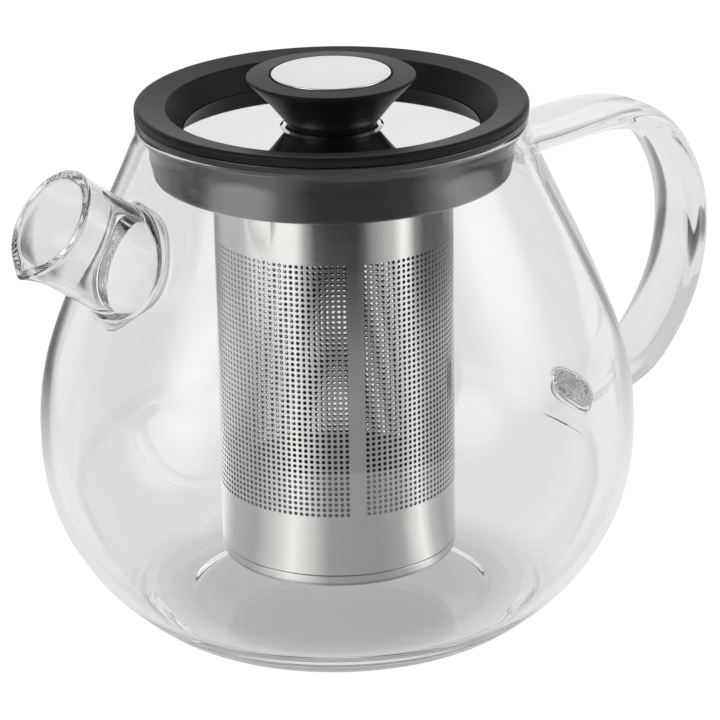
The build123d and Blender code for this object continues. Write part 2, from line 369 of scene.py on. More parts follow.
def vector_math(tree, operation, first, second=None):
    """A vector operation. Its result is a number for a length or a dot product."""
    node = tree.nodes.new("ShaderNodeVectorMath")
    node.operation = operation
    tree.links.new(first, node.inputs[0])
    if second is not None:
        feed(tree, node.inputs["Scale"] if operation == "SCALE" else node.inputs[1], second)
    return node.outputs["Value" if operation in ("LENGTH", "DOT_PRODUCT") else "Vector"]


def mixed(tree, share, first, second, blend="MIX"):
    """The first colour, or the second where the share is 1."""
    node = tree.nodes.new("ShaderNodeMix")
    node.data_type = "RGBA"
    node.blend_type = blend
    tree.links.new(share, node.inputs["Factor"])
    feed(tree, node.inputs["A"], first)
    feed(tree, node.inputs["B"], second)
    return node.outputs["Result"]


def dimmed(tree, share, first, second):
    """The first level times a share of the second."""
    return mixed(tree, share, first, second, "MULTIPLY")


def mixed_shader(tree, share, first, second):
    """The first shader, or the second where the share is 1."""
    node = tree.nodes.new("ShaderNodeMixShader")
    feed(tree, node.inputs[0], share)
    tree.links.new(first, node.inputs[1])
    tree.links.new(second, node.inputs[2])
    return node.outputs["Shader"]


def emission(tree, colour, strength):
    """A shader that gives off light."""
    node = tree.nodes.new("ShaderNodeEmission")
    feed(tree, node.inputs["Color"], colour)
    feed(tree, node.inputs["Strength"], strength)
    return node.outputs["Emission"]


# ---- materials
GLASS_TINT = (0.965, 0.97, 0.966)
GLASS_SHADOW = (0.93, 0.94, 0.935)
GLASS_DEPTH_COLOUR = (0.0, 0.05, 0.03)
GLASS_DEPTH = 0.8
# share of colour left on the basket screen's inner wall: painted shade
INSIDE_SHADE_LEVEL = 0.12


def glass_material():
    """Clear glass with a slight green depth, which lets light through to what lies behind it."""
    material, tree, shader = new_material("blown_glass")
    set_inputs(shader, {
        "Roughness": 0.0, "IOR": 1.47, "Base Color": (*GLASS_TINT, 1), "Transmission Weight": 1.0})
    output = tree.nodes["Material Output"]
    clear = tree.nodes.new("ShaderNodeBsdfTransparent")
    clear.inputs["Color"].default_value = (*GLASS_SHADOW, 1)
    in_shadow = tree.nodes.new("ShaderNodeLightPath").outputs["Is Shadow Ray"]
    surface = mixed_shader(tree, in_shadow, shader.outputs["BSDF"], clear.outputs["BSDF"])
    tree.links.new(surface, output.inputs["Surface"])
    depth = tree.nodes.new("ShaderNodeVolumeAbsorption")
    set_inputs(depth, {"Color": (*GLASS_DEPTH_COLOUR, 1), "Density": GLASS_DEPTH})
    tree.links.new(depth.outputs["Volume"], output.inputs["Volume"])
    return material


def plastic_material(name, dark, light, roughness, grain, sheen=0.5, refraction=1.5, tint=(1, 1, 1)):
    """Plastic or rubber with faint blotches in its colour and gloss, and a fine grain."""
    material, tree, shader = new_material(name)
    place = coordinates(tree)
    blotches = noise(tree, 90.0, 3.0, place)
    tree.links.new(colour_ramp(tree, blotches, dark, light), shader.inputs["Base Color"])
    tree.links.new(map_range(tree, blotches, 0.0, 1.0, *roughness), shader.inputs["Roughness"])
    set_inputs(shader, {"Specular IOR Level": sheen, "IOR": refraction, "Specular Tint": (*tint, 1)})
    fine = noise(tree, 2600.0, 2.0, place)
    bump(tree, fine, grain, 0.00004, shader)
    return material


def steel_material(name, colour, roughness, stretch, scale, strength, anisotropic=0.0, shade_inside=None):
    """Steel with fine drawn lines that run where the stretch is smallest.

    Inside a radius, between the two values of the last argument if they are given, its colour is darkened:
    painted shade on the shaded inner wall of the basket."""
    material, tree, shader = new_material(name)
    place = coordinates(tree)
    lines = noise(tree, scale, 3.0, place, stretch)
    cloud = noise(tree, 60.0, 2.0, place)
    shader.inputs["Metallic"].default_value = 1.0
    base = colour_ramp(tree, cloud, tuple(c * 0.95 for c in colour), colour)
    # painted shade: the colour is darkened inside a radius, where the basket's inner wall lies in shade
    if shade_inside:
        radius = vector_math(tree, "LENGTH", vector_math(tree, "MULTIPLY", place, (1, 1, 0)))
        inside, outside = shade_inside
        share = map_range(tree, radius, inside * MM, outside * MM, INSIDE_SHADE_LEVEL, 1.0)
        base = vector_math(tree, "SCALE", base, share)
    tree.links.new(base, shader.inputs["Base Color"])
    tree.links.new(map_range(tree, lines, 0.0, 1.0, *roughness), shader.inputs["Roughness"])
    if anisotropic:
        set_inputs(shader, {"Anisotropic": anisotropic, "Anisotropic Rotation": 0.25})
        tangent = tree.nodes.new("ShaderNodeTangent")
        tangent.direction_type = "RADIAL"
        tangent.axis = "Z"
        tree.links.new(tangent.outputs["Tangent"], shader.inputs["Tangent"])
    bump(tree, lines, strength, 0.00003, shader)
    return material


STEEL = (0.74, 0.73, 0.715)
EVEN = (1, 1, 1)
DRAWN = (1, 1, 60)
glass = glass_material()
black = plastic_material(
    "black_moulding", (0.008, 0.006, 0.0055), (0.013, 0.010, 0.0092), (0.30, 0.42), 0.18, sheen=0.15)
gloss_black = plastic_material(
    "glossy_black", (0.004, 0.004, 0.005), (0.006, 0.006, 0.007), (0.06, 0.08), 0.0,
    refraction=1.64, tint=(0.86, 0.91, 1.0))
rubber = plastic_material("silicone_rubber", (0.55, 0.55, 0.54), (0.62, 0.62, 0.6), (0.45, 0.6), 0.2)
mirror = steel_material("mirror_steel", (0.84, 0.835, 0.82), (0.02, 0.05), EVEN, 900.0, 0.01)
polished = steel_material("polished_steel", (0.80, 0.79, 0.78), (0.10, 0.18), EVEN, 1500.0, 0.03)
brushed = steel_material("brushed_steel", STEEL, (0.14, 0.22), DRAWN, 60.0, 0.05, anisotropic=0.85)
# the screen's inner wall is darkened with painted shade
screen_steel = steel_material(
    "screen_steel", STEEL, (0.10, 0.16), DRAWN, 60.0, 0.02, anisotropic=0.8,
    shade_inside=(BASKET_R - 0.06, BASKET_R - 0.01))


# ---- glass pot
outer_points = [(FOOT_RING_R, 0.0)] + POT_FLANK + [(NECK_OUTER_R, NECK_FOOT)]


def inward(points, wall):
    """Points moved by the wall thickness towards the inside of the pot."""
    moved = []
    for before, here, after in zip(points, points[1:], points[2:]):
        run, rise = after[0] - before[0], after[1] - before[1]
        length = math.hypot(run, rise)
        moved.append((here[0] - wall * rise / length, here[1] + wall * run / length))
    return moved


inner_points = [(FLOOR_R, FLOOR_TOP), (FLOOR_TURN_R, FLOOR_TOP + 1.0)] + inward(outer_points, GLASS_WALL)[3:]
inner_points.append((NECK_INNER_R, NECK_FOOT))
outer_curve, outer_along = spline_through(outer_points, 6)
inner_curve, inner_along = spline_through(inner_points, 6)
outer_curve[:, 0] = np.minimum(outer_curve[:, 0], WIDEST_R)


def side_normals(along, outside):
    """Normals (r, z) beside a curve's tangents, on its outer or its inner side."""
    length = np.hypot(along[:, 0], along[:, 1])
    sign = 1.0 if outside else -1.0
    return np.stack([sign * along[:, 1] / length, -sign * along[:, 0] / length], 1)


outer_normal = side_normals(outer_along, True)
inner_normal = side_normals(inner_along, False)
outer_normal[0] = (0.0, -1.0)
inner_normal[0] = (0.0, 1.0)


def fine_curve(points, outside):
    """Closely spaced points of one side of the pot, as rows (r, z, nr, nz)."""
    curve, along = spline_through(points, 40)
    return np.hstack([curve, side_normals(along, outside)])


fine_outer, fine_inner = fine_curve(outer_points, True), fine_curve(inner_points, False)


def radius_at(z, outside):
    """Radius of the pot's outside or inside surface at height z."""
    rows = fine_outer if outside else fine_inner
    return np.interp(z, rows[:, 1], rows[:, 0])


def pot_normal(point, outside):
    """Normal of the pot's glass at a point of its outside or inside surface."""
    x, y, z = point
    rows = fine_outer if outside else fine_inner
    nr, nz = (np.interp(z, rows[:, 1], rows[:, column]) for column in (2, 3))
    length = math.hypot(x, y)
    found = np.array((nr * x / length, nr * y / length, nz))
    return found / np.linalg.norm(found)


def pot_rows():
    """The pot's whole outline, from the middle of its underside round the rim to the middle of its floor."""
    rows = [(r, UNDERSIDE_RISE, 0.0, -1.0) for r in (0.0, 6.0, 12.0, 18.0, 24.0, 30.0, 35.0)]
    run = FOOT_RING_INNER_R - UNDERSIDE_R
    for k in range(9):
        s = k / 8
        ease = s * s * (3 - 2 * s)
        slope = 6 * s * (1 - s) * UNDERSIDE_RISE / run
        length = math.hypot(1.0, slope)
        rows.append((UNDERSIDE_R + run * s, UNDERSIDE_RISE * (1 - ease), -slope / length, -1 / length))
    rows.append((FOOT_FLAT_R, 0.0, 0.0, -1.0))
    for spot, normal in zip(outer_curve, outer_normal):
        rows.append((spot[0], max(spot[1], 0.0), normal[0], normal[1]))
    middle = (NECK_OUTER_R + NECK_INNER_R) / 2
    half = (NECK_OUTER_R - NECK_INNER_R) / 2
    top = RIM_TOP - half
    for k in range(13):
        angle = math.pi * k / 12
        rows.append((middle + half * math.cos(angle), top + half * math.sin(angle),
                     math.cos(angle), math.sin(angle)))
    for spot, normal in zip(inner_curve[::-1], inner_normal[::-1]):
        rows.append((spot[0], spot[1], normal[0], normal[1]))
    for r in (38.0, 32.0, 26.0, 20.0, 14.0, 8.0, 0.0):
        rows.append((r, FLOOR_TOP + FLOOR_CROWN * (1 - r / FLOOR_R), 0.0, 1.0))
    return rows


def surface_hit(along_line, outside, near, far):
    """How far along a line, given as a function of distance, the pot's surface is met."""
    def beyond(distance):
        x, y, z = along_line(distance)
        return math.hypot(x, y) - radius_at(z, outside)
    low, high = near, far
    low_side = beyond(low) > 0
    for _ in range(44):
        middle = (low + high) / 2
        if (beyond(middle) > 0) == low_side:
            low = middle
        else:
            high = middle
    return (low + high) / 2


def bezier(a, b, c, d, t):
    """A point of the cubic curve from a to d, pulled towards b and c."""
    u = 1 - t
    return a * u ** 3 + 3 * b * u * u * t + 3 * c * u * t * t + d * t ** 3


def patch_normals(grid):
    """Normals of a grid of rings: rows along the piece, columns round it."""
    round_way = np.roll(grid, -1, 1) - np.roll(grid, 1, 1)
    along_way = np.empty_like(grid)
    along_way[1:-1] = grid[2:] - grid[:-2]
    along_way[0] = grid[1] - grid[0]
    along_way[-1] = grid[-1] - grid[-2]
    normal = np.cross(round_way, along_way)
    return normal / np.linalg.norm(normal, axis=2, keepdims=True)


spout_axis = np.array((-math.cos(SPOUT_RISE), 0.0, math.sin(SPOUT_RISE)))
spout_down = np.array((-math.sin(SPOUT_RISE), 0.0, -math.cos(SPOUT_RISE)))
spout_across = np.array((0.0, 1.0, 0.0))
spout_mouth = np.array(SPOUT_MOUTH)
SLIDE_STEP = 0.3
ALONG_STEP = 0.2


def spout_point(distance, turn, reach):
    """A point at a distance back from the mouth, a turn about the spout's axis and a reach from it."""
    way = spout_down * math.cos(turn) + spout_across * math.sin(turn)
    return spout_mouth - spout_axis * distance + way * reach


def lip_reach(radius, distance, turn):
    """Radius of a round section that is drawn out to a point on its lower side near the mouth."""
    draw = SPOUT_LIP_DRAW * max(0.0, 1 - max(0.0, distance) / SPOUT_LIP_REACH) ** 2
    if draw < 1e-4:
        return radius
    swing = math.acos(radius / (radius + draw))
    side = math.sqrt(math.atan2(math.sin(turn), math.cos(turn)) ** 2 + LIP_TIP_ROUNDING ** 2)
    return radius / math.cos(swing - side) if side < swing else radius


def spout_line(turn):
    """One line of spout points from the pot's outside, up the tube, over the lip and down the bore."""
    def on_pot(reach, outside):
        near, far = (6.0, 48.0) if outside else (8.0, 52.0)
        distance = surface_hit(lambda s: spout_point(s, turn, reach), outside, near, far)
        return spout_point(distance, turn, reach), distance

    # over the pot's wall to the foot of an uneven weld, and up its fillet to the tube
    line = []
    outer_r = SPOUT_BORE_R + SPOUT_WALL
    for reach in (SPOUT_PATCH_R, SPOUT_PATCH_R - 1.3, SPOUT_PATCH_R - 2.5):
        line.append(on_pot(reach, True)[0])
    weld = 1 + 0.16 * math.sin(3 * turn + 0.8) + 0.10 * math.sin(5 * turn + 2.1)
    foot_reach = outer_r + SPOUT_FILLET_OUT * weld
    foot = on_pot(foot_reach, True)[0]
    slide = (on_pot(foot_reach - SLIDE_STEP, True)[0] - foot) / SLIDE_STEP
    wall_d = on_pot(outer_r, True)[1] - SPOUT_FILLET_UP * weld
    wall = spout_point(wall_d, turn, outer_r)
    for k in range(13):
        line.append(bezier(foot, foot + slide * SPOUT_FILLET_OUT * 0.62,
                           wall - spout_axis * SPOUT_FILLET_UP * 0.55, wall, k / 12))
    # out along the tube and round the lip
    rim_out = outer_r + SPOUT_BEAD
    rim_in = SPOUT_BORE_R - SPOUT_INNER_BEAD
    for k in range(1, 19):
        d = wall_d + (RIM_FACE_R - wall_d) * (k / 18) ** 0.75
        swell = SPOUT_BEAD * max(0.0, 1 - (d - RIM_FACE_R) / SPOUT_FLARE) ** 1.5
        line.append(spout_point(d, turn, lip_reach(outer_r + swell, d, turn)))
    for k in range(1, 6):
        angle = math.pi / 2 * k / 5
        d = RIM_FACE_R * (1 - math.sin(angle))
        reach = rim_out - RIM_FACE_R * (1 - math.cos(angle))
        line.append(spout_point(d, turn, lip_reach(reach, d, turn)))
    for k in range(6):
        angle = math.pi / 2 * k / 5
        d = RIM_FACE_R * (1 - math.cos(angle))
        reach = rim_in + RIM_FACE_R * (1 - math.sin(angle))
        line.append(spout_point(d, turn, lip_reach(reach, d, turn)))
    # back down the bore and over its fillet to the inside of the pot
    inner_weld = 1 + 0.22 * math.sin(2 * turn + 1.4) + 0.14 * math.sin(5 * turn + 0.3)
    bore_end = on_pot(SPOUT_BORE_R, False)[1] - SPOUT_FILLET_IN * inner_weld
    for k in range(1, 15):
        d = RIM_FACE_R + (bore_end - RIM_FACE_R) * (k / 14) ** 1.2
        reach = SPOUT_BORE_R - SPOUT_INNER_BEAD * max(0.0, 1 - (d - RIM_FACE_R) / SPOUT_FLARE) ** 1.5
        line.append(spout_point(d, turn, lip_reach(reach, d, turn)))
    inner_reach = SPOUT_BORE_R + SPOUT_FILLET_IN * inner_weld
    inner_foot = on_pot(inner_reach, False)[0]
    inner_slide = (on_pot(inner_reach - SLIDE_STEP, False)[0] - inner_foot) / SLIDE_STEP
    bore_spot = line[-1]
    for k in range(1, 10):
        line.append(bezier(bore_spot, bore_spot - spout_axis * SPOUT_FILLET_IN * 0.6,
                           inner_foot + inner_slide * SPOUT_FILLET_IN * 0.6, inner_foot, k / 9))
    for reach in (SPOUT_INNER_PATCH_R - 1.2, SPOUT_INNER_PATCH_R):
        line.append(on_pot(reach, False)[0])
    return line


def spout_patch():
    """Points and normals of the spout's glass, one column for each line round it."""
    turns = 2 * math.pi * np.arange(SPOUT_RINGS) / SPOUT_RINGS
    grid = np.array([spout_line(turn) for turn in turns]).transpose(1, 0, 2)
    normals = patch_normals(grid)
    tube_row = 24
    if normals[tube_row, 0] @ spout_down < 0:
        normals = -normals
    for j in range(grid.shape[1]):
        for i in (0, 1, 2):
            normals[i, j] = pot_normal(grid[i, j], True)
        for i in (-1, -2):
            normals[i, j] = pot_normal(grid[i, j], False)
    return grid, normals


# the strap's centre line with its tangents, by arc length
strap_line, strap_along = spline_through(STRAP_PATH, 30)
strap_along /= np.linalg.norm(strap_along, axis=1, keepdims=True)
strap_length = np.concatenate([[0.0], np.cumsum(np.hypot(*np.diff(strap_line, axis=0).T))])
STRAP_TOTAL = float(strap_length[-1])


def strap_point(s, turn, swell=0.0):
    """A point of the strap's side at arc length s, with the section grown by swell all round.

    Past both ends the strap runs on straight."""
    inside = min(max(s, 0.0), STRAP_TOTAL)
    x, z, tx, tz = (np.interp(inside, strap_length, row) for row in (*strap_line.T, *strap_along.T))
    size = math.hypot(tx, tz)
    tx, tz = tx / size, tz / size
    extra = s - inside
    c, n = math.cos(turn), math.sin(turn)
    side = math.copysign(abs(c) ** STRAP_ROUNDING, c) * (STRAP_WIDTH / 2 + swell)
    lift = math.copysign(abs(n) ** STRAP_ROUNDING, n) * (STRAP_THICKNESS / 2 + swell)
    return np.array((x + tx * extra - tz * lift, side, z + tz * extra + tx * lift))


def strap_foot(turn, start):
    """One line from the pot's outside over the fillet to the strap's side, at its upper or lower end."""
    if start:
        near, far = 16.0, -9.0
    else:
        near, far = STRAP_TOTAL - 16.0, STRAP_TOTAL + 9.0

    def spot(swell):
        s = surface_hit(lambda d: strap_point(d, turn, swell), True, near, far)
        return strap_point(s, turn, swell), s

    line = [spot(STRAP_BORDER)[0], spot(STRAP_BORDER - 0.8)[0]]
    foot = spot(STRAP_FILLET_OUT)[0]
    slide = (spot(STRAP_FILLET_OUT - SLIDE_STEP)[0] - foot) / SLIDE_STEP
    onward = 1 if start else -1
    wall_s = spot(0.0)[1] + onward * STRAP_FILLET_UP
    wall = strap_point(wall_s, turn)
    up = (strap_point(wall_s + onward * ALONG_STEP, turn) - wall) / ALONG_STEP
    for k in range(9):
        line.append(bezier(foot, foot + slide * STRAP_FILLET_OUT * 0.6,
                           wall - up * STRAP_FILLET_UP * 0.55, wall, k / 8))
    return line, wall_s


def strap_patch():
    """Points and normals of the strap's glass, one column for each line along it."""
    turns = 2 * math.pi * (np.arange(STRAP_RINGS) + 0.5) / STRAP_RINGS
    lines = []
    for turn in turns:
        top, top_s = strap_foot(turn, True)
        low, low_s = strap_foot(turn, False)
        middle = []
        for k in range(1, STRAP_STATIONS):
            share = k / STRAP_STATIONS
            middle.append(strap_point(top_s + (low_s - top_s) * share, turn))
        lines.append(top + middle + low[::-1])
    grid = np.array(lines).transpose(1, 0, 2)
    normals = patch_normals(grid)
    middle_row = 60
    if normals[middle_row, 0] @ (grid[middle_row, 0] - grid[middle_row].mean(0)) < 0:
        normals = -normals
    for j in range(grid.shape[1]):
        for i in (0, 1, -1, -2):
            normals[i, j] = pot_normal(grid[i, j], True)
    return grid, normals


HOLE_MARGIN = 0.55


def in_spout_hole(points, outside):
    """Which pot points the spout's patch takes over."""
    off = points - spout_mouth
    along = off @ spout_axis
    reach = np.linalg.norm(off - along[:, None] * spout_axis, axis=1)
    limit = (SPOUT_PATCH_R if outside else SPOUT_INNER_PATCH_R) + HOLE_MARGIN
    return (reach < limit) & (points[:, 0] < -20) & (along > -60)


def in_strap_hole(points, start):
    """Which pot points the strap's patch takes over, at its upper or lower end."""
    s = 0.0 if start else STRAP_TOTAL
    base = strap_point(s, math.pi / 2)
    other = strap_point(s, -math.pi / 2)
    centre = (base + other) / 2
    lift_way = (base - other) / np.linalg.norm(base - other)
    off = points - centre
    side = np.abs(off[:, 1]) / (STRAP_WIDTH / 2 + STRAP_BORDER + HOLE_MARGIN)
    lift = np.abs(off @ lift_way) / (STRAP_THICKNESS / 2 + STRAP_BORDER + HOLE_MARGIN)
    power = 2 / STRAP_ROUNDING
    along_way = np.array((lift_way[2], 0.0, -lift_way[0]))
    near = np.abs(off @ along_way) < 14
    return (side ** power + lift ** power < 1) & (points[:, 0] > 20) & near


def grid_faces(first, rows, columns):
    """Four-sided faces of a grid of points that starts at index first and closes on itself round."""
    faces = []
    for i in range(rows - 1):
        for j in range(columns):
            k = (j + 1) % columns
            a, b = first + i * columns, first + (i + 1) * columns
            faces.append([a + j, a + k, b + k, b + j])
    return faces


def build_pot():
    """One closed glass mesh: the turned pot with the spout and the strap fused into it."""
    rows = pot_rows()
    points, normals, faces = lathe(rows, closed=False)
    points, normals = np.array(points), np.array(normals)
    radial = points[:, 0] * normals[:, 0] + points[:, 1] * normals[:, 1]
    outside = radial >= 0
    gone = in_spout_hole(points, True) & outside
    gone |= in_spout_hole(points, False) & ~outside
    gone |= (in_strap_hole(points, True) | in_strap_hole(points, False)) & outside
    faces = [f for f in faces if not any(gone[i] for i in f)]
    used = sorted({i for f in faces for i in f})
    new_index = {old: new for new, old in enumerate(used)}
    faces = [[new_index[i] for i in f] for f in faces]
    points, normals = points[used], normals[used]
    spout_grid, spout_normals = spout_patch()
    strap_grid, strap_normals = strap_patch()
    first_spout = len(points)
    faces += grid_faces(first_spout, *spout_grid.shape[:2])
    first_strap = first_spout + spout_grid.shape[0] * spout_grid.shape[1]
    faces += grid_faces(first_strap, *strap_grid.shape[:2])
    points = np.concatenate([points, spout_grid.reshape(-1, 3), strap_grid.reshape(-1, 3)])
    normals = np.concatenate([normals, spout_normals.reshape(-1, 3), strap_normals.reshape(-1, 3)])
    mesh = bpy.data.meshes.new("glass_pot")
    mesh.from_pydata(points.tolist(), [], faces)
    bm = bmesh.new()
    bm.from_mesh(mesh)
    bm.verts.ensure_lookup_table()
    # each gap between the turned pot and a patch, with the way that it faces
    gaps = {
        "spout_outside": (spout_axis, []),
        "spout_inside": (spout_axis, []),
        "strap_top": ((1.0, 0.0, 0.35), []),
        "strap_foot": ((1.0, 0.0, 0.1), []),
    }
    for e in [e for e in bm.edges if e.is_boundary]:
        middle = (e.verts[0].co + e.verts[1].co) / 2
        if middle.x > 0:
            key = "strap_top" if middle.z > 80 else "strap_foot"
        else:
            radius = math.hypot(middle.x, middle.y)
            halfway = (radius_at(middle.z, True) + radius_at(middle.z, False)) / 2
            key = "spout_outside" if radius > halfway else "spout_inside"
        gaps[key][1].append(e)
    for way, edges in gaps.values():
        bmesh.ops.triangle_fill(bm, edges=edges, use_beauty=True, normal=Vector(way))
    bmesh.ops.recalc_face_normals(bm, faces=bm.faces)
    if bm.calc_volume() < 0:
        bmesh.ops.reverse_faces(bm, faces=bm.faces)
    bm.to_mesh(mesh)
    bm.free()
    faces = [list(p.vertices) for p in mesh.polygons]
    bpy.data.meshes.remove(mesh)
    return make_object("glass_pot", points, faces, normals, glass)


pot = build_pot()
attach(pot, "pot")
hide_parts("glass_base", "glass_belly", "glass_shoulder", "glass_spout", "glass_handle")

# ---- infuser
turned("collar", [
    (COLLAR_BORE_R, COLLAR_TOP, 0.3),
    (COLLAR_BORE_R, SHELF_TOP, 0.4),
    (COLLAR_HOLE_R, SHELF_TOP, 0.3),
    (COLLAR_HOLE_R, COLLAR_BOTTOM, 0.4),
    (COLLAR_SKIRT_FOOT_R, COLLAR_BOTTOM, 1.6),
    (COLLAR_SKIRT_TOP_R, RIM_TOP + 0.02, 0.3),
    (COLLAR_FLANGE_R, RIM_TOP + 0.02, 0.45),
    (COLLAR_FLANGE_R, COLLAR_TOP, 0.5),
], gloss_black, "infuser", ["infuser_collar"])
turned("clamp_ring", [
    (CLAMP_INNER_R, BASKET_RIM_TOP, 0.2),
    (CLAMP_OUTER_R, BASKET_RIM_TOP, 0.2),
    (CLAMP_OUTER_R, CLAMP_TOP, 0.5),
    (CLAMP_INNER_R, CLAMP_TOP, 1.0),
], black, "infuser", ["basket_clamp"], steps=160)
turned("basket_lip", [
    (BASKET_R - BASKET_SHEET, BASKET_TOP, 0.1),
    (BASKET_R, BASKET_TOP, 0.1),
    (BASKET_R, SHELF_TOP, 0.5),
    (BASKET_RIM_R, SHELF_TOP, 0.2),
    (BASKET_RIM_R, BASKET_RIM_TOP, 0.2),
    (BASKET_R - BASKET_SHEET, BASKET_RIM_TOP, 1.1),
], polished, "infuser", ["basket_rim"], steps=160)
turned("basket_floor", [
    (0.0, BASKET_BOTTOM, 0.0),
    (BASKET_R, BASKET_BOTTOM, 2.4),
    (BASKET_R, BASKET_SEAM_Z - 0.35, 0.25),
    (BASKET_R - 0.35, BASKET_SEAM_Z - 0.1, 0.12),
    (BASKET_R - 0.35, BASKET_SEAM_Z, 0.05),
    (BASKET_R - BASKET_SHEET, BASKET_SEAM_Z, 0.05),
    (BASKET_R - BASKET_SHEET, BASKET_SEAM_Z + 4.0, 0.2),
    (BASKET_R - 2 * BASKET_SHEET, BASKET_SEAM_Z + 4.0, 0.2),
    (BASKET_R - 2 * BASKET_SHEET, BASKET_SEAM_Z - 0.5, 0.2),
    (BASKET_R - BASKET_SHEET, BASKET_SEAM_Z - 1.0, 0.2),
    (BASKET_R - BASKET_SHEET, BASKET_BOTTOM + BASKET_SHEET, 1.9),
    (0.0, BASKET_BOTTOM + BASKET_SHEET, 0.0),
], brushed, "infuser", ["basket_base"], closed=False)


def hole_faces(corners, loop):
    """Faces between the four corners of a cell and the eight-sided hole in its middle."""
    faces = []
    for m in range(4):
        here, after = corners[m], corners[(m + 1) % 4]
        first, second, third = (loop[(5 + 2 * m + step) % HOLE_SIDES] for step in range(3))
        faces.append([here, after, second, first])
        faces.append([after, third, second])
    return faces


def perforated(name, low_z, first_row, last_row, high_z):
    """A closed part of the basket wall between two heights, with its round holes cut as real openings."""
    seam_angle = SEAM_WIDTH / BASKET_R
    column_angle = (2 * math.pi - seam_angle) / HOLE_COLUMNS
    start = SEAM_AZIMUTH + seam_angle / 2
    angles = [start + column_angle * k for k in range(HOLE_COLUMNS + 1)]
    seam_end = SEAM_AZIMUTH - seam_angle / 2 + 2 * math.pi
    ring_angles = angles + [seam_end + seam_angle * k / 4 for k in range(1, 4)]
    columns = len(ring_angles)
    radii = (BASKET_R, BASKET_R - BASKET_SHEET)
    row_z = [HOLE_BOTTOM_Z + HOLE_PITCH_Z * (k - 0.5) for k in range(first_row, last_row + 2)]
    points, normals, faces = [], [], []

    def add(angle, z, layer):
        sign = 1.0 if layer == 0 else -1.0
        points.append((radii[layer] * math.cos(angle), radii[layer] * math.sin(angle), z))
        normals.append((sign * math.cos(angle), sign * math.sin(angle), 0.0))
        return len(points) - 1

    def add_face(face, facing_out):
        faces.append(face if facing_out else face[::-1])

    levels = ([low_z] if low_z < row_z[0] - 0.01 else []) + row_z
    hole_level = len(levels) - len(row_z)
    if high_z > row_z[-1] + 0.01:
        levels.append(high_z)
    hole_levels = range(hole_level, hole_level + len(row_z) - 1)
    rings = [[[add(a, z, layer) for a in ring_angles] for z in levels] for layer in (0, 1)]

    def cell(layer, i, j):
        k = (j + 1) % columns
        return [rings[layer][i][j], rings[layer][i][k], rings[layer][i + 1][k], rings[layer][i + 1][j]]

    for layer in (0, 1):
        for i in range(len(levels) - 1):
            for j in range(columns):
                if i not in hole_levels or j >= HOLE_COLUMNS:
                    add_face(cell(layer, i, j), layer == 0)
    for level in (0, len(levels) - 1):
        outer, inner = rings[0][level], rings[1][level]
        for j in range(columns):
            k = (j + 1) % columns
            add_face([outer[j], outer[k], inner[k], inner[j]], level > 0)
    for row in range(first_row, last_row + 1):
        i = row - first_row + hole_level
        z = HOLE_BOTTOM_Z + HOLE_PITCH_Z * row
        for j in range(HOLE_COLUMNS):
            middle = (angles[j] + angles[j + 1]) / 2
            loops = []
            for layer in (0, 1):
                loop = []
                for q in range(HOLE_SIDES):
                    turn = 2 * math.pi * (q + 0.5) / HOLE_SIDES
                    aside = HOLE_R * math.cos(turn) / BASKET_R
                    loop.append(add(middle + aside, z + HOLE_R * math.sin(turn), layer))
                loops.append(loop)
                for face in hole_faces(cell(layer, i, j), loop):
                    add_face(face, layer == 0)
            for q in range(HOLE_SIDES):
                n = (q + 1) % HOLE_SIDES
                faces.append([loops[0][q], loops[0][n], loops[1][n], loops[1][q]])
    piece = make_object(name, points, faces, normals, screen_steel)
    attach(piece, "infuser")
    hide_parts("basket_wall")


middle_z = HOLE_BOTTOM_Z + HOLE_PITCH_Z * (MIDDLE_ROW + 0.5)
perforated("basket_screen_low", BASKET_SEAM_Z, 0, MIDDLE_ROW, middle_z)
perforated("basket_screen_high", middle_z, MIDDLE_ROW + 1, HOLE_ROWS - 1, BASKET_TOP)

# ---- lid
turned("lid_moulding", [
    (42.0, COLLAR_TOP, 0.2),
    (LID_R, COLLAR_TOP + 0.02, 0.5),
    (LID_R, LID_TOP, 1.15),
    (*DISH_RIM, 0.55),
    (*DISH_FOOT, 0.25),
    (DISH_FOOT[0], DISC_SEAT, 0.1),
    (SCREW_HOLE_R, DISC_SEAT, 0.1),
    (SCREW_HOLE_R, PLATE_BOTTOM, 0.1),
    (PLUG_INNER_R, PLATE_BOTTOM, 0.4),
    (PLUG_INNER_R, PLUG_BOTTOM, 0.4),
    (PLUG_R, PLUG_BOTTOM, 0.6),
    (PLUG_R, GROOVE_BOTTOM, 0.1),
    (GROOVE_R, GROOVE_BOTTOM, 0.1),
    (GROOVE_R, GROOVE_TOP, 0.1),
    (PLUG_R, GROOVE_TOP, 0.1),
    (PLUG_R, COLLAR_TOP, 0.2),
], black, "lid", ["lid_ring"])
turned("lid_disc_plate", [
    (SCREW_HOLE_R, DISC_SEAT, 0.1),
    (DISC_R, DISC_SEAT, 0.1),
    (DISC_R, DISC_TOP, 0.15),
    (BOSS_R + 0.8, DISC_TOP, 0.3),
    (BOSS_R, DISC_TOP + BOSS_RISE, 0.3),
    (SCREW_HOLE_R, DISC_TOP + BOSS_RISE, 0.1),
], mirror, "lid", ["lid_disc"])
turned("knob", [
    (KNOB_BORE_R, KNOB_FOOT, 0.1),
    (11.3, KNOB_FOOT + 0.05, 0.25),
    (11.9, KNOB_FOOT + 1.2, 1.2),
    (15.8, KNOB_FOOT + 6.1, 12.0),
    (KNOB_R - 0.75, KNOB_TOP - 1.75, 0.9),
    (KNOB_R, KNOB_TOP - 0.75, 0.5),
    (KNOB_R - 0.35, KNOB_TOP - 0.35, 0.5),
    (CAP_SEAT_R + 0.3, KNOB_TOP, 0.3),
    (CAP_SEAT_R, KNOB_TOP - 0.25, 0.1),
    (CAP_SEAT_R, CAP_SEAT, 0.1),
    (KNOB_BORE_R, CAP_SEAT, 0.1),
], black, "lid", ["knob_body"])
